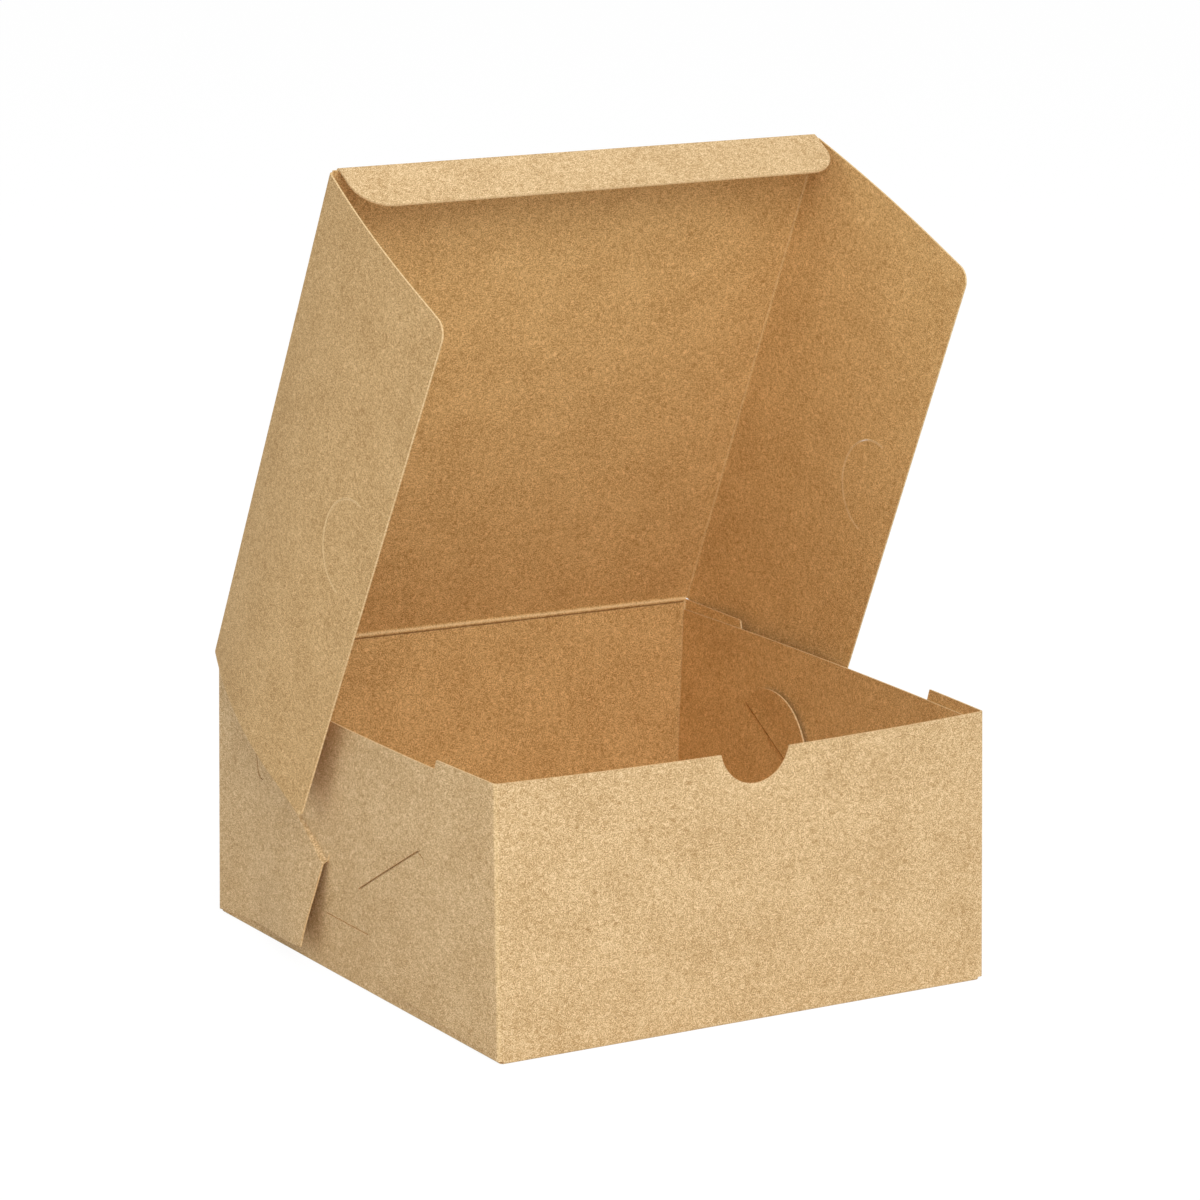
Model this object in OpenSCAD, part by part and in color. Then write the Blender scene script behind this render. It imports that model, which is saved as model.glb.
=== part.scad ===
// Lock-corner cake box, folded from one sheet of kraft board and standing open.
// +X points right, +Y towards the lid's hinge and +Z up.
// The origin is the centre of the underside, which rests on the table.

/* [Tray] */
// Outside width, left to right
tray_w = 154; // [110:1:260]
// Outside depth, front to hinge
tray_d = 154; // [142:1:260]
// Height of the front wall and the hinge
tray_h = 75; // [66:1:120]
// How far the side walls stop below the front wall
side_drop = 3; // [1:0.5:6]
// Half width of the thumb notch at the top of the front wall
notch_half_w = 10.7; // [6:0.1:16]
// Depth of the thumb notch
notch_deep = 8.8; // [5:0.1:14]

/* [Board] */
// Thickness of the board
board = 0.5; // [0.35:0.05:0.7]
// Outside radius of a fold
fold_r = 1; // [0.8:0.1:1.6]
// Air between two layers that lie on each other
ply_gap = 0.15; // [0.1:0.05:0.3]
// Width of a knife cut
cut_w = 0.4; // [0.3:0.1:0.8]

/* [Corner tabs] */
// Length of a front tab's top edge
front_tab_top = 23; // [16:0.5:30]
// Length of a rear tab's top edge
rear_tab_top = 26.5; // [16:0.5:32]
// Height of a tab's lower edge at the corner
tab_foot = 1; // [0.5:0.25:3]
// Height of a tab's lower edge at its toe
tab_toe = 5; // [3:0.5:9]
// Reach of the toe from the corner
tab_toe_reach = 60; // [50:0.5:63]
// Where the slit starts, from the corner
slit_near = 35; // [31:0.5:40]
// Height at which the slit starts
slit_near_z = 48; // [44:0.5:50]
// Where the slit ends, from the corner
slit_far = 67; // [64:0.5:69]
// Height at which the slit ends
slit_far_z = 30; // [26:0.5:34]
// How far the tongue stands above its slit inside the wall
tongue_reach = 16; // [10:0.5:17]

/* [Lock slit in the side wall] */
// Length of the level cut in each side wall
lock_slit = 25.4; // [16:0.2:34]
// Height of the level cut
lock_slit_z = 17; // [8:0.5:22]

/* [Lid] */
// How far the lid is open, 0 closed and 180 laid back
lid_open = 66.3; // [0:0.2:180]
// How far the lid reaches past the front wall
lid_overhang = 3.3; // [2.5:0.1:8]
// Clearance between a fold's axis and the boards that meet there
hinge_gap = 0.2; // [0.15:0.05:0.4]
// Clearance between a side flap that hangs square and the tray
flap_gap = 0.4; // [0.3:0.05:1]

/* [Side flaps] */
// Clearance under a side flap when the lid is closed
flap_foot = 2; // [1:0.5:12]
// How far the left flap is folded in at rest, 90 square
left_flap_fold = 86; // [60:1:90]
// How far the right flap is folded in at rest, 90 square
right_flap_fold = 87; // [60:1:90]
// How far the left flap bows outward between its fold and its free edge
left_flap_bow = 2.5; // [0.5:0.1:4]
// How far the right flap bows outward between its fold and its free edge
right_flap_bow = 1.3; // [0.5:0.1:4]
// How far the flap stops short of the lid's front edge
flap_front_gap = 1; // [0.8:0.1:4]
// Radius of the flap's front corner
flap_corner_r = 6; // [2:0.5:14]
// Radius of the flap's rear corner
flap_heel_r = 2; // [0.5:0.5:8]
// Radius of the half-round lock cut
lock_cut_r = 13.5; // [8:0.5:20]
// Distance from the flap's free edge to the centre of the lock cut
lock_cut_edge = 13; // [4:0.5:20]

/* [Tuck flap] */
// Depth of the tuck flap
tuck_deep = 16.5; // [10:0.5:18]
// How far the tuck flap is folded in at rest, 90 square
tuck_fold = 97; // [60:1:98]
// Radius of the tuck flap's corners
tuck_corner_r = 11; // [4:0.5:14]
// How far each end of the tuck flap stops short of the tray's side
tuck_end_gap = 0.6; // [0.4:0.1:3]

/* [Hidden] */
$fn = 96;
kraft = "#c29b66";
// A cutter runs this far past the board on both faces
past = 5;
// Outside width and length of the side walls, which stand inside the corner tabs
side_w = tray_w - 2 * (board + ply_gap);
side_len = tray_d - 2 * (fold_r + ply_gap);
side_h = tray_h - side_drop;
// The bottom, flat between the folds of the side walls
bottom_w = side_w - 2 * (fold_r + ply_gap);
// The slit that a tongue passes through, from its near end to its far end
slit_run = slit_far - slit_near;
slit_fall = slit_near_z - slit_far_z;
slit_len = sqrt(slit_run * slit_run + slit_fall * slit_fall);
slit_tilt = atan2(slit_fall, slit_run);
slit_w = board + 2 * ply_gap;
// The tongue is a segment of this circle
tongue_r = (slit_len * slit_len / 4 + tongue_reach * tongue_reach) / (2 * tongue_reach);
// The thumb notch is a segment of this circle
notch_r = (notch_half_w * notch_half_w + notch_deep * notch_deep) / (2 * notch_deep);
// The three folds of the lid, as half width and length from the hinge
lid_half_w = tray_w / 2 + flap_gap - hinge_gap;
lid_len = tray_d + lid_overhang;
flap_w = tray_h - flap_foot;
flap_len = lid_len - flap_front_gap;

// Square corner with its tip at the origin, left over outside a round of radius r
module corner_waste(r) {
    difference() {
        translate([-past, -past]) square([past + r, past + r]);
        translate([r, r]) circle(r);
        translate([r, -past - 1]) square([r, 2 * past + r + 2]);
        translate([-past - 1, r]) square([2 * past + r + 2, r]);
    }
}

// Solid channel section w wide and h high, with both lower corners rounded
module channel_block(w, h, r) {
    translate([r - w / 2, 0]) square([w - 2 * r, h]);
    translate([-w / 2, r]) square([w, h - r]);
    for (side = [-1, 1]) translate([side * (w / 2 - r), r]) circle(r);
}

// Section of a sheet that is folded up at both ends
module channel(w, h) {
    difference() {
        channel_block(w, h, fold_r);
        translate([0, board]) channel_block(w - 2 * board, h, fold_r - board);
    }
}

// Front wall, bottom and rear wall, one strip folded twice
module front_and_rear_walls() {
    translate([-bottom_w / 2, 0, 0])
        rotate([90, 0, 90])
            linear_extrude(bottom_w) channel(tray_d, tray_h);
}

// Side walls and bottom, one strip folded twice
module side_walls() {
    translate([0, side_len / 2, 0])
        rotate([90, 0, 0])
            linear_extrude(side_len) channel(side_w, side_h);
}

// Outline of a corner tab's outer part, from the corner inwards and up from the table.
// Along the slit it reaches half a board's thickness past it, into the tongue's root.
module tab_outline(top) {
    root = board / 2 * [sin(slit_tilt), cos(slit_tilt)];
    polygon([
        [0, tab_foot],
        [0, tray_h],
        [top, tray_h],
        [slit_near, slit_near_z] + root,
        [slit_far, slit_far_z] + root,
        [tab_toe_reach, tab_toe]
    ]);
}

// Frame along a slit: X from its near end to its far end, Y up out of the slit
module on_slit() {
    translate([slit_near, slit_near_z]) rotate(-slit_tilt) children();
}

// Outline of the tongue that lies inside the side wall
module tongue_outline() {
    on_slit() intersection() {
        translate([slit_len / 2, tongue_reach - tongue_r]) circle(tongue_r);
        square([slit_len, tongue_reach]);
    }
}

// The pair of tabs at one end, folded round both corners onto the side walls
module tab_pair(top) {
    intersection() {
        translate([0, -tray_d / 2, 0]) linear_extrude(tray_h) channel(tray_w, slit_far);
        translate([-tray_w / 2 - past, -tray_d / 2, 0])
            rotate([90, 0, 90])
                linear_extrude(tray_w + 2 * past) tab_outline(top);
    }
    for (side = [0, 1]) mirror([side, 0, 0]) tongue();
}

// Tongue on the left: a root through the slit and a half round leaf on the wall's inner face
module tongue() {
    ply = board + ply_gap;
    translate([-tray_w / 2, -tray_d / 2, 0]) rotate([90, 0, 90]) {
        linear_extrude(2 * ply + board)
            on_slit() translate([ply_gap, 0]) square([slit_len - 2 * ply_gap, board]);
        translate([0, 0, 2 * ply]) linear_extrude(board) tongue_outline();
    }
}

// Slits for one pair of tongues, through both side walls
module slit_pair() {
    translate([-tray_w / 2 - past, -tray_d / 2, 0])
        rotate([90, 0, 90])
            linear_extrude(tray_w + 2 * past)
                on_slit() translate([-ply_gap, -ply_gap]) square([slit_len + 2 * ply_gap, slit_w]);
}

// Level cut through both side walls, where the lid's side flaps can lock
module lock_slits() {
    translate([0, 0, lock_slit_z])
        cube([tray_w + 2 * past, lock_slit, cut_w], center = true);
}

module thumb_notch() {
    translate([0, past - tray_d / 2, tray_h - notch_deep + notch_r])
        rotate([90, 0, 0]) cylinder(r = notch_r, h = 2 * past);
}

module tray() {
    color(kraft) {
        difference() {
            side_walls();
            slit_pair();
            mirror([0, 1, 0]) slit_pair();
            lock_slits();
        }
        difference() {
            union() {
                front_and_rear_walls();
                tab_pair(front_tab_top);
            }
            thumb_notch();
        }
        mirror([0, 1, 0]) tab_pair(rear_tab_top);
    }
}

// Frame of the lid: closed, it reaches from its hinge along -Y with its outside up
module on_hinge() {
    translate([0, tray_d / 2, tray_h]) rotate([-lid_open, 0, 0]) children();
}

module lid() {
    color(kraft) on_hinge()
        translate([hinge_gap - lid_half_w, hinge_gap - lid_len, hinge_gap])
            cube([2 * (lid_half_w - hinge_gap), lid_len - 2 * hinge_gap, board]);
}

// Outline of a side flap, unfolded: X away from its fold, Y from the hinge forward
module flap_outline() {
    difference() {
        translate([hinge_gap, hinge_gap]) square([flap_w - hinge_gap, flap_len - hinge_gap]);
        translate([flap_w, flap_len]) rotate(180) corner_waste(flap_corner_r);
        translate([flap_w, hinge_gap]) rotate(90) corner_waste(flap_heel_r);
        translate([flap_w - lock_cut_edge, lid_len / 2]) lock_cut();
    }
}

// Half-round knife cut that opens towards the flap's free edge
module lock_cut() {
    difference() {
        circle(lock_cut_r + cut_w / 2);
        circle(lock_cut_r - cut_w / 2);
        translate([0, -lock_cut_r - past]) square([lock_cut_r + past, 2 * (lock_cut_r + past)]);
    }
}

// Board as wide as a side flap, rolled to a part of a tube whose middle stands out along +Z
module bowed_board(bow) {
    inner_r = (flap_w * flap_w / 4 + bow * bow) / (2 * bow);
    translate([flap_w / 2, -past, bow - inner_r]) rotate([-90, 0, 0]) difference() {
        cylinder(r = inner_r + board, h = flap_len + 2 * past);
        translate([0, 0, -past]) cylinder(r = inner_r, h = flap_len + 4 * past);
    }
}

// A side flap on the right, at its fold
module side_flap(fold, bow) {
    on_hinge()
        translate([lid_half_w, 0, 0])
            rotate([0, fold, 0])
                mirror([0, 1, 0])
                    translate([0, 0, hinge_gap]) intersection() {
                        bowed_board(bow);
                        translate([0, 0, -board]) linear_extrude(bow + 3 * board) flap_outline();
                    }
}

module right_flap() {
    color(kraft) side_flap(right_flap_fold, right_flap_bow);
}

module left_flap() {
    color(kraft) mirror([1, 0, 0]) side_flap(left_flap_fold, left_flap_bow);
}

// Outline of the tuck flap, unfolded: its free edge lies along -Y
module tuck_outline() {
    half = tray_w / 2 - tuck_end_gap;
    difference() {
        translate([-half, -tuck_deep]) square([2 * half, tuck_deep - hinge_gap]);
        translate([-half, -tuck_deep]) corner_waste(tuck_corner_r);
        translate([half, -tuck_deep]) rotate(90) corner_waste(tuck_corner_r);
    }
}

module tuck_flap() {
    color(kraft) on_hinge()
        translate([0, -lid_len, 0])
            rotate([tuck_fold, 0, 0])
                translate([0, 0, hinge_gap]) linear_extrude(board) tuck_outline();
}

tray();
lid();
left_flap();
right_flap();
tuck_flap();
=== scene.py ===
import math

import bmesh
import bpy
import numpy as np
from mathutils import Matrix, Vector


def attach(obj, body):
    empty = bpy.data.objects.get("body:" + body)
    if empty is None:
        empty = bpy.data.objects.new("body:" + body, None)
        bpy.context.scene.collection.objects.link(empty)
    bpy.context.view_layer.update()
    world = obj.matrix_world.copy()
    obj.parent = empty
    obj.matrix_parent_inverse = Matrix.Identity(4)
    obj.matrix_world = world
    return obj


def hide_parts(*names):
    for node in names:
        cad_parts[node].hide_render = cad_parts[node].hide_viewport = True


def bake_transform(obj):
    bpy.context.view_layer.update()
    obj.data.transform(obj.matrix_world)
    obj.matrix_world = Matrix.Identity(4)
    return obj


# A kraft cake box, cut from one sheet of board, folded, locked at its corners and standing open.
# Each panel is cut and ruled flat in millimetres, and then folded and sprung into its place.

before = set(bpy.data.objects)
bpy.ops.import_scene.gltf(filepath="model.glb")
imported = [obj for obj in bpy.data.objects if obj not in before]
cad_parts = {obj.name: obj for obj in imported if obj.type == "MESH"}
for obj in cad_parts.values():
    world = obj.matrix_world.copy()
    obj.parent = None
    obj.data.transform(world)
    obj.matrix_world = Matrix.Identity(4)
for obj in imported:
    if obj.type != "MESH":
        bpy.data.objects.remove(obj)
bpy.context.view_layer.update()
print("frame loaded")

board = {
    "thick": 0.5,
    "foldRadius": 1.0,  # outside radius of every fold
    "gap": 0.15,  # air between two layers
    "grid": 4.0,  # spacing of the ruled lines that let a panel bend
    "bead": 0.3,  # height of the ridge that a crease raises on the inside
    "uvSpan": 1000.0,  # millimetres of board per unit of the UV map
    "uvOutside": 0.25,  # where the blank's middle lies in the UV map, for its two faces
    "uvInside": 0.75,
    "uvUp": 0.35,
    "cutterTall": 6.0,
}
neutralRadius = board["foldRadius"] - board["thick"] / 2
squareArc = neutralRadius * math.pi / 2  # length of board in a square fold


# Shader maths

class Link:
    # a socket that can be added, multiplied and so on, each adding its Math node
    def __init__(self, bench, socket):
        self.bench = bench
        self.socket = socket

    def join(self, operation, left, right):
        return self.bench.add("Math", {"operation": operation}, [left, right])

    def __add__(self, other):
        return self.join("ADD", self, other)

    def __radd__(self, other):
        return self.join("ADD", other, self)

    def __sub__(self, other):
        return self.join("SUBTRACT", self, other)

    def __rsub__(self, other):
        return self.join("SUBTRACT", other, self)

    def __mul__(self, other):
        return self.join("MULTIPLY", self, other)

    def __rmul__(self, other):
        return self.join("MULTIPLY", other, self)


class Bench:
    # the node tree of one material
    def __init__(self, name):
        self.material = bpy.data.materials.new(name)
        self.material.use_nodes = True
        self.tree = self.material.node_tree
        self.tree.nodes.clear()

    def add(self, kind, settings, values, out=0):
        node = self.tree.nodes.new("ShaderNode" + kind)
        for key, value in settings.items():
            if key == "stops":
                ramp = node.color_ramp
                while len(ramp.elements) < len(value):
                    ramp.elements.new(0.5)
                for element, (place, shade) in zip(ramp.elements, value):
                    element.position = place
                    element.color = shade if len(shade) == 4 else (*shade, 1)
            else:
                setattr(node, key, value)
        pairs = values.items() if isinstance(values, dict) else enumerate(values)
        for key, value in pairs:
            if value is None:
                continue
            if isinstance(value, Link):
                self.tree.links.new(value.socket, node.inputs[key])
            else:
                node.inputs[key].default_value = value
        return Link(self, node.outputs[out]) if len(node.outputs) else None

    def level(self, value, low, high):
        # 0 at low, 1 at high, eased between
        return self.add("MapRange", {"interpolation_type": "SMOOTHSTEP"}, [value, low, high, 0.0, 1.0])

    def mixColour(self, share, first, second, blend="MIX"):
        node = self.tree.nodes.new("ShaderNodeMix")
        node.data_type = "RGBA"
        node.blend_type = blend
        for index, value in ((0, share), (6, first), (7, second)):
            if isinstance(value, Link):
                self.tree.links.new(value.socket, node.inputs[index])
            elif index == 0:
                node.inputs[index].default_value = value
            else:
                node.inputs[index].default_value = (*value, 1)
        return Link(self, node.outputs[2])

    def scaleVector(self, vector, factors):
        return self.add("VectorMath", {"operation": "MULTIPLY"}, [vector, factors])


def linear(red, green, blue):
    # a colour as it shows on a screen, 0 to 255, as the shader takes it
    out = []
    for value in (red, green, blue):
        value = value / 255
        out.append(value / 12.92 if value <= 0.04045 else ((value + 0.055) / 1.055) ** 2.4)
    return tuple(out)


kraft = {
    "pale": linear(240, 211, 166),
    "middle": linear(207, 174, 126),
    "deep": linear(172, 136, 88),
    "speck": linear(104, 74, 42),
    # pale for a fold's ridge, partly wear and partly painted highlight, and for the lips of a knife cut
    "crease": linear(246, 215, 162),
    # dark line beside a fold's ridge: painted shadow
    "creaseShadow": linear(104, 66, 32),
    "inside": (1.05, 0.955, 0.74),  # the inside faces are tinted a warmer brown
    "grain": 0.34,  # size of the finest grain, mm
    "fibreLength": 1.7,
    "fibreWidth": 0.28,
    "grainShare": 2.2,  # how far each part of the pattern moves the tone
    "fibreShare": 3.2,
    "cloudShare": 0.35,
    "strokes": ((0.2, 3.1), (0.9, 17.3), (2.0, 41.9), (2.8, 73.7)),  # angle and seed of each layer of fibres
    "roughness": 0.78,
    "bump": 0.1,  # mm
}


def fibreLayer(bench, place, angle, seed):
    # short strokes lying along one direction
    turned = bench.add("VectorRotate", {"rotation_type": "Z_AXIS"}, {"Vector": place, "Angle": angle})
    stretched = bench.scaleVector(turned, (1 / kraft["fibreLength"], 1 / kraft["fibreWidth"], 1))
    moved = bench.add("VectorMath", {"operation": "ADD"}, [stretched, (seed, seed * 1.7, 0)])
    return bench.add("TexNoise", {"noise_dimensions": "2D"}, {"Vector": moved, "Scale": 1.0, "Detail": 1.0})


def makeKraft(name, outside, arcs=None):
    # arcs: place and radius of a half round knife cut, whose lips are paler than the board
    bench = Bench(name)
    uv = bench.add("UVMap", {"uv_map": "board"}, [])
    place = bench.scaleVector(uv, (board["uvSpan"],) * 3)

    def noise(scale, detail, out=0):
        inputs = {"Vector": place, "Scale": scale, "Detail": detail}
        return bench.add("TexNoise", {"noise_dimensions": "2D"}, inputs, out)

    warp = noise(0.45, 1.0, 1)
    bent = bench.add("VectorMath", {"operation": "MULTIPLY_ADD"}, [warp, (2.0, 2.0, 0), place])
    grain = noise(1 / kraft["grain"], 2.0)
    strokes = [fibreLayer(bench, bent, angle, seed) for angle, seed in kraft["strokes"]]
    fibres = (strokes[0] + strokes[1] + strokes[2] + strokes[3]) * 0.25
    tone = (grain - 0.5) * kraft["grainShare"] + (fibres - 0.5) * kraft["fibreShare"]
    tone = tone + (noise(0.07, 2.0) - 0.5) * kraft["cloudShare"] + (noise(0.4, 2.0) - 0.5) * kraft["cloudShare"]
    stops = [(0.0, kraft["deep"]), (0.5, kraft["middle"]), (1.0, kraft["pale"])]
    colour = bench.add("ValToRGB", {"stops": stops}, {"Fac": tone + 0.5})
    speck = bench.level(noise(0.9, 1.0), 0.8, 0.86) * 0.5
    colour = bench.mixColour(speck, colour, kraft["speck"])
    # the inside face lies in the right half of the UV map
    uvParts = bench.add("SeparateXYZ", {}, [uv])
    inside = bench.add("Math", {"operation": "GREATER_THAN"}, [uvParts, 0.5])
    # outside faces take the given tint, which for the lid and flaps is painted shade; inside faces take the
    # warmer inside tint
    tint = bench.mixColour(inside, outside, kraft["inside"])
    colour = bench.mixColour(1.0, colour, tint, "MULTIPLY")
    crease = bench.add("Attribute", {"attribute_name": "crease"}, [], 2)
    # above 0 it is the ridge of a fold, paler partly from wear and partly as a painted highlight where it
    # catches the light; below 0 a painted shadow beside it
    wornAndHighlit = bench.level(crease, 0.0, 1.0) * bench.level(grain + fibres, 0.55, 1.05) * (inside * 0.55 + 0.35)
    colour = bench.mixColour(wornAndHighlit, colour, kraft["crease"])
    # painted shadow: a dark line beside the ridge, on the inside faces
    colour = bench.mixColour(bench.level(crease * -1, 0.0, 1.0) * inside, colour, kraft["creaseShadow"])
    if arcs:
        flatX, flatY, radius = arcs
        across = (uvParts - inside * 0.5 - board["uvOutside"]) * board["uvSpan"]
        across = bench.add("Math", {"operation": "ABSOLUTE"}, [across]) - flatX
        up = (bench.add("SeparateXYZ", {}, [uv], 1) - board["uvUp"]) * board["uvSpan"] - flatY
        away = bench.add("Math", {"operation": "SQRT"}, [across * across + up * up]) - radius
        away = bench.add("Math", {"operation": "ABSOLUTE"}, [away])
        lip = bench.level(away * -1, -0.5, -0.15) * bench.level(across * -1, -0.4, 0.0)
        colour = bench.mixColour(lip * bench.level(grain + fibres, 0.6, 1.1) * 0.85, colour, kraft["crease"])
    height = grain * 0.5 + fibres
    normal = bench.add("Bump", {}, {"Strength": 0.7, "Distance": kraft["bump"] * 0.001, "Height": height})
    roughness = (fibres - 0.5) * 0.25 + kraft["roughness"]
    shader = bench.add(
        "BsdfPrincipled",
        {},
        {"Base Color": colour, "Roughness": roughness, "Normal": normal, "Specular IOR Level": 0.28},
    )
    bench.add("OutputMaterial", {}, [shader])
    return bench.material


def makeCutEdgeWithHighlight():
    # raw board where a knife went through, fuzzier than the face; it is paler partly as raw board and partly as
    # a painted highlight where the edges catch the light
    bench = Bench("cutEdge")
    uv = bench.add("UVMap", {"uv_map": "board"}, [])
    place = bench.scaleVector(uv, (board["uvSpan"],) * 3)
    fuzz = bench.add("TexNoise", {"noise_dimensions": "2D"}, {"Vector": place, "Scale": 1.6, "Detail": 2.0})
    share = bench.level(fuzz, 0.35, 0.65)
    colour = bench.mixColour(share, linear(212, 178, 128), linear(232, 202, 154))
    inputs = {"Base Color": colour, "Roughness": 0.92, "Specular IOR Level": 0.15}
    shader = bench.add("BsdfPrincipled", {}, inputs)
    bench.add("OutputMaterial", {}, [shader])
    return bench.material


cutEdge = makeCutEdgeWithHighlight()
trayBoard = makeKraft("kraftBoard", (1.0, 1.0, 1.0))


# Sheet work

def deselectAll():
    if bpy.context.mode != "OBJECT":
        bpy.ops.object.mode_set(mode="OBJECT")
    bpy.ops.object.select_all(action="DESELECT")


def makeActive(piece):
    deselectAll()
    piece.select_set(True)
    bpy.context.view_layer.objects.active = piece


def smooth(x):
    x = np.clip(x, 0.0, 1.0)
    return x * x * (3 - 2 * x)


def startPanel(name, face, left, right, low, high):
    # a flat rectangle, left in edit mode
    deselectAll()
    bpy.ops.mesh.primitive_plane_add(size=1, location=(0, 0, 0))
    piece = bpy.context.active_object
    piece.name = name
    piece.data.name = name
    for material in (face, cutEdge):
        piece.data.materials.append(material)
    bpy.ops.object.mode_set(mode="EDIT")
    bpy.ops.mesh.select_mode(type="FACE")
    bpy.ops.mesh.select_all(action="SELECT")
    bpy.ops.transform.resize(value=(right - left, high - low, 1))
    bpy.ops.transform.translate(value=((left + right) / 2, (low + high) / 2, 0))
    return piece


def pickFaces(piece, test):
    # selects the faces whose middle passes the test, in edit mode
    bpy.ops.mesh.select_all(action="DESELECT")
    mesh = bmesh.from_edit_mesh(piece.data)
    count = 0
    for face in mesh.faces:
        middle = face.calc_center_median()
        if test(middle.x, middle.y):
            face.select_set(True)
            count += 1
    bmesh.update_edit_mesh(piece.data)
    return count


def cutLine(piece, point, normal, test=None, clear=False):
    # cuts the picked faces along a line, and clears what lies past it on the normal's side
    if test is None:
        bpy.ops.mesh.select_all(action="SELECT")
    elif not pickFaces(piece, test):
        return
    size = math.hypot(normal[0], normal[1])
    bpy.ops.mesh.bisect(
        plane_co=(point[0], point[1], 0),
        plane_no=(normal[0] / size, normal[1] / size, 0),
        threshold=0.00001,
    )
    if clear:
        def farSide(x, y):
            return test(x, y) and (x - point[0]) * normal[0] + (y - point[1]) * normal[1] > 0

        clearFaces(piece, farSide)


def clearFaces(piece, test):
    if pickFaces(piece, test):
        bpy.ops.mesh.delete(type="FACE")


def ruleLines(piece, along, places):
    for place in places:
        if along == "x":
            cutLine(piece, (place, 0), (1, 0))
        else:
            cutLine(piece, (0, place), (0, 1))


def thicken(piece):
    # gives the flat panel the board's thickness, outside face down and inside face up
    bpy.ops.object.mode_set(mode="OBJECT")
    makeActive(piece)
    skin = piece.modifiers.new("thickness", "SOLIDIFY")
    skin.thickness = board["thick"]
    skin.offset = 1
    skin.material_offset_rim = 1
    bpy.ops.object.modifier_apply(modifier=skin.name)


def knifeOut(piece, cutter):
    # takes the cutter's shape out of the board, and leaves the paler cut-edge colour where it cut, part raw
    # board and part painted highlight
    cutter.data.materials.clear()
    cutter.data.materials.append(cutEdge)
    makeActive(piece)
    knife = piece.modifiers.new("knife", "BOOLEAN")
    knife.operation = "DIFFERENCE"
    knife.solver = "EXACT"
    knife.material_mode = "TRANSFER"
    knife.object = cutter
    bpy.ops.object.modifier_apply(modifier=knife.name)
    bpy.data.objects.remove(cutter)


def slotCutter(start, end, low, high):
    # a thin bar along a line, from low to high on the line's left side
    start, end = Vector(start), Vector(end)
    run = end - start
    side = Vector((-run.y, run.x)).normalized()
    middle = (start + end) / 2 + side * (low + high) / 2
    deselectAll()
    bpy.ops.mesh.primitive_cube_add(size=1, location=(0, 0, 0))
    bar = bpy.context.active_object
    bpy.ops.object.mode_set(mode="EDIT")
    bpy.ops.mesh.select_all(action="SELECT")
    bpy.ops.transform.resize(value=(run.length, high - low, board["cutterTall"]))
    bpy.ops.object.mode_set(mode="OBJECT")
    turn = Matrix.Rotation(math.atan2(run.y, run.x), 4, "Z")
    bar.data.transform(Matrix.Translation((middle.x, middle.y, 0)) @ turn)
    return bar


def discCutter(centre, radius, sides=96):
    deselectAll()
    bpy.ops.mesh.primitive_cylinder_add(
        vertices=sides, radius=radius, depth=board["cutterTall"], location=(centre[0], centre[1], 0)
    )
    disc = bpy.context.active_object
    bpy.ops.object.transform_apply(location=True, rotation=True, scale=True)
    return disc


def arcCutter(centre, radius, width, side, steps=40):
    # a half round knife cut that bulges away from that side: a short bar spun round the centre
    deselectAll()
    bpy.ops.mesh.primitive_plane_add(size=1, location=(0, 0, 0))
    arc = bpy.context.active_object
    stand = Matrix.Rotation(math.pi / 2, 4, "Y") @ Matrix.Diagonal((board["cutterTall"], width, 1, 1))
    arc.data.transform(Matrix.Translation((0, radius, 0)) @ stand)
    bpy.ops.object.mode_set(mode="EDIT")
    bpy.ops.mesh.select_all(action="SELECT")
    bpy.ops.mesh.spin(steps=steps, angle=math.pi, center=(0, 0, 0), axis=(0, 0, 1))
    bpy.ops.object.mode_set(mode="OBJECT")
    # spin turns either way, depending on whether there is a window
    wrongWay = readPoints(arc)[:, 0].mean() * side > 0
    flip = Matrix.Diagonal((-1, 1, 1, 1)) if wrongWay else Matrix.Identity(4)
    arc.data.transform(Matrix.Translation((centre[0], centre[1], 0)) @ flip)
    makeActive(arc)
    bpy.ops.object.mode_set(mode="EDIT")
    bpy.ops.mesh.select_all(action="SELECT")
    bpy.ops.mesh.normals_make_consistent(inside=False)
    bpy.ops.object.mode_set(mode="OBJECT")
    return arc


def readPoints(piece):
    points = np.zeros(len(piece.data.vertices) * 3)
    piece.data.vertices.foreach_get("co", points)
    return points.reshape(-1, 3)


def foldInto(piece, shape, creases):
    # writes each corner's flat place into the UV map and each point's share of a crease,
    # then moves the points to their place, in metres
    if bpy.context.mode != "OBJECT":
        bpy.ops.object.mode_set(mode="OBJECT")
    flat = readPoints(piece)
    mesh = piece.data
    for layer in list(mesh.uv_layers):
        mesh.uv_layers.remove(layer)
    uvMap = mesh.uv_layers.new(name="board")
    corner = np.zeros(len(mesh.loops), dtype=np.int32)
    mesh.loops.foreach_get("vertex_index", corner)
    total = np.zeros(len(mesh.polygons), dtype=np.int32)
    mesh.polygons.foreach_get("loop_total", total)
    faceOf = np.repeat(np.arange(len(total)), total)
    inside = (flat[corner, 2] > board["thick"] * 0.5).astype(float)
    share = np.bincount(faceOf, weights=inside) / np.maximum(total, 1)
    shift = np.where(share[faceOf] > 0.75, board["uvInside"], board["uvOutside"])
    uv = flat[corner, :2] / board["uvSpan"] + np.stack([shift, np.full(len(shift), board["uvUp"])], 1)
    uvMap.data.foreach_set("uv", uv.astype(np.float32).ravel())
    share = mesh.attributes.new("crease", "FLOAT", "POINT")
    share.data.foreach_set("value", creases(flat).astype(np.float32))
    placed = shape(flat) * 0.001
    mesh.vertices.foreach_set("co", placed.astype(np.float32).ravel())
    mesh.update()


def ridgeAt(distance, width=0.5):
    return np.exp(-(distance / width) ** 2)


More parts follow.
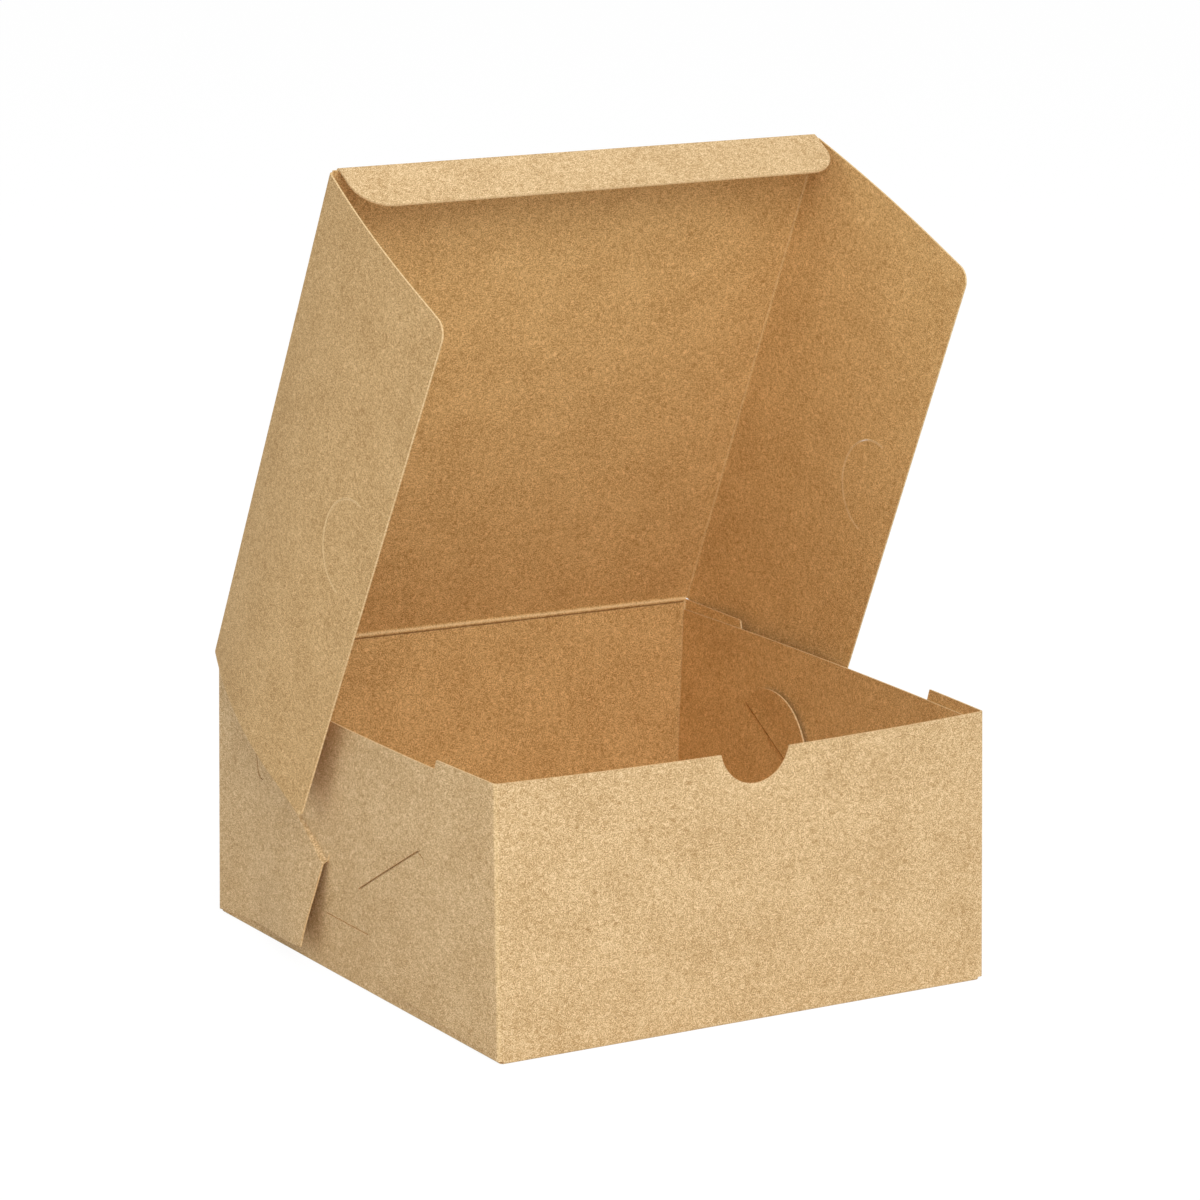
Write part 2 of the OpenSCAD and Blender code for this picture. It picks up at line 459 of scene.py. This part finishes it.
def finishSheet(piece):
    makeActive(piece)
    bpy.ops.object.shade_smooth_by_angle(angle=math.radians(32))
    deselectAll()
    print(piece.name, "made,", len(piece.data.vertices), "points")


def spread(low, high, step):
    count = max(1, round((high - low) / step))
    return [low + (high - low) * i / count for i in range(1, count)]


# Tray: bottom, four walls and the four corner tabs, one blank

tray = {
    "half": 77.0,
    "high": 75.0,
    "sideHigh": 72.0,
    "seam": 1.2,  # the rear wall hands over to the lid this far below the rim
    "notchHalf": 10.7,
    "notchDeep": 8.8,
    "tabFoot": 1.0,
    "tongueReach": 16.0,
    "tongueSpring": 1.1,  # how far a tongue's tip stands off the wall
    # the tabs' points, as distance from the corner and height; the top edge drops a little to its end
    "frontTab": {
        "top": 27.0, "topDrop": 0.0, "near": (37.0, 48.0), "far": (70.5, 28.5), "toe": (60.0, 5.0),
        "hooks": [[(36.4, 47.6), (34.6, 46.6), (34.0, 44.6)]],
    },
    "rearTab": {
        "top": 29.0, "topDrop": 0.7, "near": (35.0, 51.0), "far": (67.0, 32.0), "toe": (60.0, 7.0),
        "hooks": [[(25.4, 57.0), (27.0, 47.2), (28.2, 46.0), (29.8, 45.8)]],
    },
    "lockSlit": 25.4,
    "lockSlitHigh": 17.0,
    # how far the rim has sprung from square at each corner, mm
    "frontLeft": (-2.0, 1.0, -0.18),
    "frontRight": (-1.87, 2.2, 0.3),
    "rearLeft": (-0.18, 0.6, 0.4),
    "rearRight": (0.47, -0.8, -0.5),
    # how far each wall bows outward at the middle of its rim, mm
    "bowLeft": 3.0,
    "bowRight": 2.0,
    "bowFront": 4.2,
    "bowFrom": 58.0,  # a wall's bow fades in from here to its own plane
    "bowRun": 15.0,
    "liftRearLeft": 6.5,  # the rear left tab's toe stands off the wall
}
layer = board["thick"] + board["gap"]
sideStart = tray["half"] - layer - board["foldRadius"]  # where the side walls' folds start
endStart = tray["half"] - board["foldRadius"]  # where the front and rear folds start
tabZero = endStart + squareArc - board["foldRadius"]  # flat place that lies at the corner or the table
sideZero = sideStart + squareArc - board["foldRadius"]
endsFrom = tray["half"] - layer - board["foldRadius"] + 0.55  # beyond this the blank is an end wall or a tab


def slitFrame(tab):
    # where a tab's slit starts, the way along it, the way up out of it and its length
    near = np.array(tab["near"])
    run = np.array(tab["far"]) - near
    length = float(np.hypot(*run))
    along = run / length
    return near, along, np.array([-along[1], along[0]]), length


def pastSlit(tab, reach, height):
    near, _, up, _ = slitFrame(tab)
    return (reach - near[0]) * up[0] + (height - near[1]) * up[1]


def alongSlit(tab, reach, height):
    near, along, _, _ = slitFrame(tab)
    return (reach - near[0]) * along[0] + (height - near[1]) * along[1]


def pastFree(tab, reach, height):
    # distance past the free edge that runs from a tab's top edge down to its slit
    run = np.array((tab["top"], tray["high"])) - np.array(tab["near"])
    out = np.array([run[1], -run[0]]) / np.hypot(*run)
    return (reach - tab["near"][0]) * out[0] + (height - tab["near"][1]) * out[1]


def turnUp(past, deep):
    # board folded square: past is the flat distance beyond the fold's start, deep the depth from the outside
    turn = np.clip(past / neutralRadius, 0, math.pi / 2)
    ridge = board["bead"] * (deep / board["thick"]) * np.exp(-((turn - math.pi / 4) / 0.5) ** 2)
    radius = board["foldRadius"] - deep - ridge * (past > -0.2) * (past < squareArc + 0.2)
    run = np.minimum(past, 0) + radius * np.sin(turn)
    rise = board["foldRadius"] - radius * np.cos(turn) + np.maximum(past - squareArc, 0)
    return run, rise


def springWalls(points):
    # leans and bows the walls as they stand when nothing holds them
    x, y, z = points.T
    half, high = tray["half"], tray["high"]
    right = np.clip((1 + x / half) / 2, 0, 1)
    rear = np.clip((1 + y / half) / 2, 0, 1)
    up = np.clip(z / high, 0, 1.02)
    out = points.copy()
    for axis in range(3):
        front = tray["frontLeft"][axis] * (1 - right) + tray["frontRight"][axis] * right
        back = tray["rearLeft"][axis] * (1 - right) + tray["rearRight"][axis] * right
        out[:, axis] += (front * (1 - rear) + back * rear) * up
    swell = 1 - (1 - np.clip(up, 0, 1)) ** 2
    acrossX = 1 - np.clip(x / half, -1, 1) ** 2
    acrossY = 1 - np.clip(y / half, -1, 1) ** 2
    out[:, 0] -= tray["bowLeft"] * acrossY * swell * smooth((-x - tray["bowFrom"]) / tray["bowRun"])
    out[:, 0] += tray["bowRight"] * acrossY * swell * smooth((x - tray["bowFrom"]) / tray["bowRun"])
    out[:, 1] -= tray["bowFront"] * acrossX * swell * smooth((-y - tray["bowFrom"]) / tray["bowRun"])
    return out


def shapeTray(flat):
    u, v, deep = flat.T
    sideU, sideV = np.sign(u), np.sign(v)
    farU, farV = np.abs(u), np.abs(v)
    ends = farV > endsFrom
    runSide, riseSide = turnUp(farU - sideStart, deep)
    runEnd, riseEnd = turnUp(farV - endStart, deep)
    runCorner, inset = turnUp(farU - endStart, deep)
    reach = farU - tabZero
    height = farV - tabZero
    front, rear = tray["frontTab"], tray["rearTab"]
    past = np.where(v < 0, pastSlit(front, reach, height), pastSlit(rear, reach, height))
    beyond = np.where(v < 0, pastFree(front, reach, height), pastFree(rear, reach, height))
    along = np.where(v < 0, alongSlit(front, reach, height), alongSlit(rear, reach, height))
    inSlit = ((beyond > 0.02) | (past < 0)) * (reach > 25) * smooth((along + 0.5) / 0.6)
    dip = 2 * layer * smooth((past + 0.55) / 1.05)
    tongue = (dip + tray["tongueSpring"] * smooth((past - 3) / 12)) * inSlit
    toe = smooth((reach - 16) / 46) * smooth((44 - height) / 44) * (reach > 5)
    lift = tray["liftRearLeft"] * toe * ((sideU < 0) & (sideV > 0))
    x = np.where(ends, sideU * (endStart + runCorner - tongue + lift), sideU * (sideStart + runSide))
    yEnd = np.where(farV - endStart < squareArc, sideV * (endStart + runEnd), sideV * (tray["half"] - inset))
    y = np.where(ends, yEnd, v)
    z = np.where(ends, riseEnd, riseSide)
    return springWalls(np.stack([x, y, z], 1))


def trayCreases(flat):
    # distance from the nearest fold
    farU, farV = np.abs(flat[:, 0]), np.abs(flat[:, 1])
    ends = farV > endsFrom
    start = np.where(ends, endStart, sideStart)
    fromSide = np.abs(farU - start - squareArc / 2)
    fromEnd = np.where(farU < endStart, np.abs(farV - endStart - squareArc / 2), 9)
    return ridgeAt(np.minimum(fromSide, fromEnd))


def cutTab(piece, sideX, sideY, tab, tabLow):
    # a corner tab: its outline below the slit, then the half round tongue above it
    near, along, up, length = slitFrame(tab)
    rise = tray["tongueReach"]
    radius = (length ** 2 / 4 + rise ** 2) / (2 * rise)
    centre = near + along * length / 2 + up * (rise - radius)

    def toFlat(point):
        return (sideX * (point[0] + tabZero), sideY * (point[1] + tabZero))

    def turned(way):
        return (sideX * way[0], sideY * way[1])

    def inTab(x, y):
        return x * sideX > endStart and y * sideY > tabLow - 0.01

    def measure(x, y):
        return x * sideX - tabZero, y * sideY - tabZero

    def below(x, y):
        return inTab(x, y) and pastSlit(tab, *measure(x, y)) < 0

    def above(x, y):
        return inTab(x, y) and pastSlit(tab, *measure(x, y)) > 0

    def tongueSide(x, y):
        return above(x, y) and pastFree(tab, *measure(x, y)) > 0

    def wallSide(x, y):
        return above(x, y) and not tongueSide(x, y)

    cutLine(piece, toFlat(near), turned(up), inTab)
    for start, end in (((0, tray["tabFoot"]), tab["toe"]), (tab["toe"], tab["far"])):
        run = np.array(end) - np.array(start)
        cutLine(piece, toFlat(start), turned((run[1], -run[0])), below, clear=True)
    run = np.array((tab["top"], tray["high"])) - near
    cutLine(piece, toFlat(near), turned((run[1], -run[0])), above)
    drop = (tab["topDrop"], tab["top"])
    cutLine(piece, toFlat((0, tray["high"])), turned(drop), wallSide, clear=True)
    halfSpan = math.asin(min(1, length / 2 / radius))
    for step in range(29):
        turn = halfSpan * (step / 14 - 1)
        out = up * math.cos(turn) + along * math.sin(turn)
        cutLine(piece, toFlat(centre + out * radius), turned(out), tongueSide, clear=True)
    # lines across the slit, where the tab dips through the wall
    for offset in (-0.8, -0.55, -0.37, -0.2, -0.02, 0.15, 0.33, 0.5, 0.75):
        cutLine(piece, toFlat(near + up * offset), turned(up), inTab)


def makeTray():
    wide = tray["half"]
    sideTop = sideZero + tray["sideHigh"]
    endTop = tabZero + tray["high"]
    sideEnd = wide - board["foldRadius"] - board["gap"]
    tabLow = tabZero + tray["tabFoot"]
    narrow = sideStart - board["gap"]
    piece = startPanel("tray_sheet", trayBoard, -sideTop, sideTop, -endTop, endTop)
    ruleLines(piece, "y", [-tabLow, -sideEnd, sideEnd, tabLow])
    ruleLines(piece, "x", [-endStart, -narrow, narrow, endStart])
    clearFaces(piece, lambda x, y: abs(x) > narrow and sideEnd < abs(y) < tabLow)
    for sideX in (-1, 1):
        for sideY, tab in ((-1, tray["frontTab"]), (1, tray["rearTab"])):
            cutTab(piece, sideX, sideY, tab, tabLow)
    # the rear wall's rim is the lid's to make
    clearTop = tabZero + tray["high"] - tray["seam"]
    cutLine(piece, (0, clearTop), (0, 1), lambda x, y: abs(x) < endStart and y > 0, clear=True)
    thicken(piece)
    # knife cuts: four slits and the two level cuts in the side walls, and the thumb notch
    for sideX in (-1, 1):
        for sideY in (-1, 1):
            tab = tray["frontTab"] if sideY < 0 else tray["rearTab"]
            ends = [
                (sideX * (height + sideZero), sideY * (wide - reach))
                for reach, height in (tab["near"], tab["far"])
            ]
            if sideX * sideY < 0:
                ends.reverse()
            knifeOut(piece, slotCutter(ends[0], ends[1], -0.55, 0.45))
            for hook in tab["hooks"]:
                places = [(sideX * (reach + tabZero), sideY * (height + tabZero)) for reach, height in hook]
                for start, end in zip(places[:-1], places[1:]):
                    knifeOut(piece, slotCutter(start, end, -0.26, 0.26))
        across = sideX * (tray["lockSlitHigh"] + sideZero)
        reach = tray["lockSlit"] / 2
        knifeOut(piece, slotCutter((across, -reach), (across, reach), -0.17, 0.17))
    notchRadius = (tray["notchHalf"] ** 2 + tray["notchDeep"] ** 2) / (2 * tray["notchDeep"])
    knifeOut(piece, discCutter((0, -(endTop - tray["notchDeep"] + notchRadius)), notchRadius))
    # lines for the folds and the bows
    bpy.ops.object.mode_set(mode="EDIT")
    fold = [-0.6] + [squareArc * i / 6 for i in range(7)] + [squareArc + 0.6]
    lines = [sideStart + f for f in fold] + [endStart + f for f in fold]
    lines += spread(0, narrow, board["grid"]) + spread(endStart + squareArc, sideTop, board["grid"])
    ruleLines(piece, "x", sorted(lines + [-p for p in lines]) + [0])
    lines = [endStart + f for f in fold[1:]] + spread(0, sideEnd, board["grid"])
    lines += spread(endStart + squareArc, endTop, board["grid"])
    ruleLines(piece, "y", sorted(lines + [-p for p in lines]) + [0])
    foldInto(piece, shapeTray, trayCreases)
    finishSheet(piece)
    return piece


trayPiece = makeTray()
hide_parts("tray")
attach(trayPiece, "tray")


# Lid: one panel, creased at the hinge, that the two side flaps and the tuck flap join

lid = {
    "half": 77.2,
    "long": 157.3,
    "leanLeft": 24.05,  # degrees from upright, at its left and right edges
    "leanRight": 22.75,
    "gap": 0.2,  # from the hinge's axis to the inside face
    "bow": 0.7,
    "hingeOver": 0.8,  # past the rear wall's flat width
}
flap = {
    "deep": 73.0,
    "frontGap": 1.0,
    "frontRadius": 6.0,
    "heelRadius": 2.0,
    "cutRadius": 13.5,
    "cutEdge": 13.0,
    "cutWidth": 0.12,
    "flareRun": 55.0,  # the flap curves outward over this much, and is straight beyond
    "flareLeft": (9.3, 3.7),  # at the hinge and at the lid's front edge
    "flareRight": (3.6, 3.5),
}
outerEdge = lid["half"] + lid["gap"] + board["thick"]
lidEdge = outerEdge - board["foldRadius"] * math.tan(math.radians(43))  # where a side flap's fold starts
tuckBend = math.radians(97.4)
tuckStart = lid["long"] + lid["gap"] + board["thick"] - board["foldRadius"] * math.tan(tuckBend / 2)
hingeFlat = tabZero + tray["high"]  # the hinge's place on the flat sheet


# the lid's and flaps' outside faces get a darker, warmer tint of the same board: painted shade for panels that
# lean away from the lamps
lidBoard = makeKraft(
    "kraftLidShaded",
    (0.96, 0.9, 0.78),
    (
        lidEdge + flap["deep"] + squareArc - flap["cutEdge"],
        hingeFlat + lid["long"] / 2,
        flap["cutRadius"],
    ),
)
print("materials made")


def lidFrame(across):
    # where the lid meets the rim, the way up its length and its outward normal
    count = len(across)
    foot = springWalls(np.stack([across, np.full(count, tray["half"]), np.full(count, tray["high"])], 1))
    right = np.clip((1 + across / tray["half"]) / 2, -0.02, 1.02)
    lean = np.radians(lid["leanLeft"] * (1 - right) + lid["leanRight"] * right)
    zero = np.zeros(count)
    up = np.stack([zero, -np.sin(lean), np.cos(lean)], 1)
    out = np.stack([zero, np.cos(lean), np.sin(lean)], 1)
    return foot, up, out


def lidPoint(across, along, deep):
    foot, up, out = lidFrame(across)
    belly = (1 - np.clip(across / lidEdge, -1, 1) ** 2) * np.sin(math.pi * np.clip(along / lid["long"], 0, 1))
    stand = lid["gap"] + board["thick"] - deep + lid["bow"] * belly
    return foot + up * along[:, None] + out * stand[:, None]


def shapeLid(flat):
    across, v, deep = flat.T
    along = v - hingeFlat
    onLid = lidPoint(across, along, deep)
    wall = np.stack([across, tray["half"] - deep, tray["high"] + along], 1)
    onWall = springWalls(wall)
    share = smooth((along + tray["seam"]) / (2 * tray["seam"]))[:, None]
    ridge = board["bead"] * 1.3 * (deep / board["thick"]) * np.exp(-(along / 0.5) ** 2)
    placed = onWall * (1 - share) + onLid * share
    placed[:, 1] -= ridge
    return placed


def lidCreases(flat):
    # the hinge: a ridge, paler partly from wear and partly as painted highlight, with a painted shadow as a
    # dark line below it
    along = flat[:, 1] - hingeFlat
    return ridgeAt(along - 0.15, 0.42) - ridgeAt(along + 0.72, 0.26) * 0.8


def makeLid():
    low, high = hingeFlat - tray["seam"], hingeFlat + tuckStart
    piece = startPanel("lid_sheet", lidBoard, -lidEdge, lidEdge, low, high)
    reach = endStart + lid["hingeOver"]
    ruleLines(piece, "x", [-reach, reach])
    ruleLines(piece, "y", [hingeFlat + lid["gap"]])
    clearFaces(piece, lambda x, y: abs(x) > reach and y < hingeFlat + lid["gap"])
    thicken(piece)
    bpy.ops.object.mode_set(mode="EDIT")
    ruleLines(piece, "x", spread(-lidEdge, lidEdge, board["grid"]))
    crease = [hingeFlat + tray["seam"] * (i / 6 - 1) for i in range(1, 13)]
    ruleLines(piece, "y", crease + spread(hingeFlat + tray["seam"], high, board["grid"]))
    foldInto(piece, shapeLid, lidCreases)
    finishSheet(piece)
    return piece


def towards(start, end, line):
    # the end point, moved so that start to end is square to the line
    start, end, line = Vector(start), Vector(end), Vector(line).normalized()
    run = end - start
    return start + run - line * run.dot(line)


lidPiece = makeLid()
hingeEnds = [lidFrame(np.array([float(x)]))[0][0] for x in (-lid["half"], lid["half"])]
middle = shapeLid(np.array([
    [0, hingeFlat - tray["seam"] * 0.9, 0.25],
    [0, hingeFlat + tray["seam"], 0.25],
])) * 0.001
hingeLine = hingeEnds[1] - hingeEnds[0]
towards(middle[0], middle[1], hingeLine)
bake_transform(lidPiece)
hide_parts("lid")


# Side flaps: sprung a little outward from square, each with a half round lock cut

def shapeFlap(side):
    flares = flap["flareLeft"] if side < 0 else flap["flareRight"]

    def shape(flat):
        u, v, deep = flat.T
        past = np.abs(u) - lidEdge
        along = v - hingeFlat
        start = lidPoint(np.full(len(u), side * lidEdge), along, np.zeros(len(u)))
        _, _, out = lidFrame(np.full(len(u), side * lidEdge))
        flare = flares[0] + (flares[1] - flares[0]) * np.clip(along / lid["long"], 0, 1)
        bend = math.pi / 2 - np.arctan(2 * flare / flap["flareRun"])
        turn = np.clip(past / neutralRadius, 0, bend)
        ridge = board["bead"] * (deep / board["thick"]) * np.exp(-((turn - bend / 2) / 0.5) ** 2) * (past > 0)
        ridge = ridge * (past < neutralRadius * bend)
        radius = board["foldRadius"] - deep - ridge
        rest = np.maximum(past - neutralRadius * bend, 0)
        sway = flare * (1 - np.clip(1 - rest / flap["flareRun"], 0, 1) ** 2)
        run = np.minimum(past, 0) + radius * np.sin(turn) + sway
        drop = board["foldRadius"] - radius * np.cos(turn) + rest
        placed = start - out * drop[:, None]
        placed[:, 0] += side * run
        return placed

    return shape


def flapCreases(flat):
    # weaker than the tray's, as the flaps stand open
    return ridgeAt(np.abs(flat[:, 0]) - lidEdge - squareArc / 2) * 0.5


def makeFlap(name, side):
    width = flap["deep"] + squareArc
    low, high = hingeFlat + lid["gap"], hingeFlat + lid["long"] - flap["frontGap"]
    free = side * (lidEdge + width)
    piece = startPanel(name, lidBoard, min(side * lidEdge, free), max(side * lidEdge, free), low, high)
    # round the two free corners
    for corner, radius in (((free, high), flap["frontRadius"]), ((free, low), flap["heelRadius"])):
        bpy.ops.mesh.select_mode(type="VERT")
        bpy.ops.mesh.select_all(action="DESELECT")
        mesh = bmesh.from_edit_mesh(piece.data)
        for point in mesh.verts:
            if abs(point.co.x - corner[0]) < 0.01 and abs(point.co.y - corner[1]) < 0.01:
                point.select_set(True)
        bmesh.update_edit_mesh(piece.data)
        bpy.ops.mesh.bevel(offset=radius, segments=14, affect="VERTICES", offset_type="WIDTH")
        bpy.ops.mesh.select_mode(type="FACE")
    thicken(piece)
    centre = (free - side * flap["cutEdge"], hingeFlat + lid["long"] / 2)
    knifeOut(piece, arcCutter(centre, flap["cutRadius"], flap["cutWidth"], side))
    bpy.ops.object.mode_set(mode="EDIT")
    fold = [lidEdge + squareArc * i / 6 for i in range(1, 7)]
    places = [side * p for p in fold + spread(lidEdge + squareArc, lidEdge + width, board["grid"])]
    ruleLines(piece, "x", places + [side * (lidEdge + squareArc + 0.6)])
    ruleLines(piece, "y", spread(low, high, board["grid"]))
    foldInto(piece, shapeFlap(side), flapCreases)
    finishSheet(piece)
    fold = shapeFlap(side)(np.array([
        [side * lidEdge, hingeFlat + 5, 0.25], [side * lidEdge, hingeFlat + 150, 0.25],
        [side * (lidEdge + squareArc), hingeFlat + 5, 0.25],
    ])) * 0.001
    return piece, fold


for name, side, body in (("left_flap_sheet", -1, "left_flap"), ("right_flap_sheet", 1, "right_flap")):
    flapPiece, fold = makeFlap(name, side)
    towards(fold[0], fold[2], fold[1] - fold[0])
    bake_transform(flapPiece)
    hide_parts(body)


# Tuck flap

tuck = {"deep": 16.0, "half": 75.7, "radius": 13.5}


def shapeTuck(flat):
    across, v, deep = flat.T
    past = v - hingeFlat - tuckStart
    start = lidPoint(across, np.full(len(v), tuckStart), np.zeros(len(v)))
    _, up, out = lidFrame(across)
    turn = np.clip(past / neutralRadius, 0, tuckBend)
    ridge = board["bead"] * (deep / board["thick"]) * np.exp(-((turn - tuckBend / 2) / 0.5) ** 2)
    ridge = ridge * (past > 0) * (past < neutralRadius * tuckBend)
    radius = board["foldRadius"] - deep - ridge
    rest = np.maximum(past - neutralRadius * tuckBend, 0)
    run = np.minimum(past, 0) + radius * np.sin(turn) + rest * math.cos(tuckBend)
    drop = board["foldRadius"] - radius * np.cos(turn) + rest * math.sin(tuckBend)
    return start + up * run[:, None] - out * drop[:, None]


def makeTuck():
    low = hingeFlat + tuckStart
    high = low + neutralRadius * tuckBend + tuck["deep"] - 0.3
    piece = startPanel("tuck_flap_sheet", trayBoard, -tuck["half"], tuck["half"], low, high)
    bpy.ops.mesh.select_mode(type="VERT")
    bpy.ops.mesh.select_all(action="DESELECT")
    mesh = bmesh.from_edit_mesh(piece.data)
    for point in mesh.verts:
        if point.co.y > high - 0.01:
            point.select_set(True)
    bmesh.update_edit_mesh(piece.data)
    bpy.ops.mesh.bevel(offset=tuck["radius"], segments=20, affect="VERTICES", offset_type="WIDTH")
    bpy.ops.mesh.select_mode(type="FACE")
    thicken(piece)
    bpy.ops.object.mode_set(mode="EDIT")
    ruleLines(piece, "x", spread(-tuck["half"], tuck["half"], board["grid"]))
    arc = neutralRadius * tuckBend
    ruleLines(piece, "y", [low + arc * i / 6 for i in range(1, 7)] + spread(low + arc, high, board["grid"]))
    foldInto(piece, shapeTuck, lambda flat: ridgeAt(flat[:, 1] - low - arc / 2))
    finishSheet(piece)
    fold = shapeTuck(np.array([[-70, low, 0.25], [70, low, 0.25], [-70, low + arc, 0.25]])) * 0.001
    towards(fold[0], fold[2], fold[1] - fold[0])
    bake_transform(piece)
    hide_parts("tuck_flap")


makeTuck()


# Stage, light and camera

stage = {
    "white": 1.07,
    "floorShade": 0.12,
    "worldLight": 0.47,
    # place in metres, size and power of each lamp
    "lamps": {
        "keyLamp": ((-0.55, -1.5, 1.15), 1.1, 17.5),
        "rightLamp": ((1.4, -0.9, 0.9), 1.2, 4.2),
        "topLamp": ((0.0, -0.3, 1.8), 1.2, 6.2),
        "leftLamp": ((-1.6, -0.3, 0.7), 1.0, 3.4),
    },
}


def makeFloor():
    deselectAll()
    bpy.ops.mesh.primitive_plane_add(size=8, location=(0, 0, 0))
    floor = bpy.context.active_object
    floor.name = "floor"
    bench = Bench("floorWhite")
    path = bench.tree.nodes.new("ShaderNodeLightPath")
    seen = Link(bench, path.outputs["Is Camera Ray"]) + Link(bench, path.outputs["Is Glossy Ray"])
    seen = bench.add("Math", {"operation": "MINIMUM"}, [seen, 1.0])
    paper = bench.add("BsdfDiffuse", {}, {"Color": (0.8, 0.8, 0.8, 1)})
    glow = bench.add("Emission", {}, {"Color": (1, 1, 1, 1), "Strength": stage["white"]})
    mix = bench.add("MixShader", {}, [seen * (1 - stage["floorShade"]), paper, glow])
    bench.add("OutputMaterial", {}, [mix])
    floor.data.materials.append(bench.material)


def makeWorld():
    world = bpy.data.worlds.new("studio")
    bpy.context.scene.world = world
    world.use_nodes = True
    tree = world.node_tree
    tree.nodes.clear()
    path = tree.nodes.new("ShaderNodeLightPath")
    room = tree.nodes.new("ShaderNodeBackground")
    room.inputs["Color"].default_value = (1.0, 1.0, 1.0, 1)
    room.inputs["Strength"].default_value = stage["worldLight"]
    white = tree.nodes.new("ShaderNodeBackground")
    white.inputs["Strength"].default_value = stage["white"]
    mix = tree.nodes.new("ShaderNodeMixShader")
    out = tree.nodes.new("ShaderNodeOutputWorld")
    tree.links.new(path.outputs["Is Camera Ray"], mix.inputs[0])
    tree.links.new(room.outputs[0], mix.inputs[1])
    tree.links.new(white.outputs[0], mix.inputs[2])
    tree.links.new(mix.outputs[0], out.inputs[0])


def addLamp(name, place, target, size, power):
    lamp = bpy.data.lights.new(name, "AREA")
    lamp.shape = "DISK"
    lamp.size = size
    lamp.energy = power
    holder = bpy.data.objects.new(name, lamp)
    bpy.context.scene.collection.objects.link(holder)
    holder.location = place
    holder.rotation_mode = "QUATERNION"
    holder.rotation_quaternion = (Vector(target) - Vector(place)).to_track_quat("-Z", "Y")


camera = {
    "azimuth": -32.32,
    "elevation": 13.22,
    "roll": 1.25,
    "slideX": 1.59,  # mm across and up in the picture's plane
    "slideY": 95.69,
    "distance": 1347.44,
    "focalPixels": 4855.54,
    "picturePixels": 1200.0,
}


def makeCamera():
    azimuth, elevation = math.radians(camera["azimuth"]), math.radians(camera["elevation"])
    roll = math.radians(camera["roll"])
    back = Vector((
        math.sin(azimuth) * math.cos(elevation),
        -math.cos(azimuth) * math.cos(elevation),
        math.sin(elevation),
    ))
    right = Vector((math.cos(azimuth), math.sin(azimuth), 0))
    up = back.cross(right)
    across = right * math.cos(roll) + up * math.sin(roll)
    upward = up * math.cos(roll) - right * math.sin(roll)
    place = back * camera["distance"] + across * camera["slideX"] + upward * camera["slideY"]
    data = bpy.data.cameras.new("camera")
    data.sensor_width = 36
    data.lens = camera["focalPixels"] / camera["picturePixels"] * 36
    data.clip_start = 0.01
    data.clip_end = 50
    holder = bpy.data.objects.new("camera", data)
    bpy.context.scene.collection.objects.link(holder)
    turn = Matrix((across, upward, back)).transposed().to_4x4()
    holder.matrix_world = Matrix.Translation(place * 0.001) @ turn
    bpy.context.scene.camera = holder


makeFloor()
makeWorld()
for name, (place, size, power) in stage["lamps"].items():
    addLamp(name, place, (0, 0, 0.09), size, power)
makeCamera()
bpy.context.scene.view_settings.view_transform = "Standard"
print("stage set")
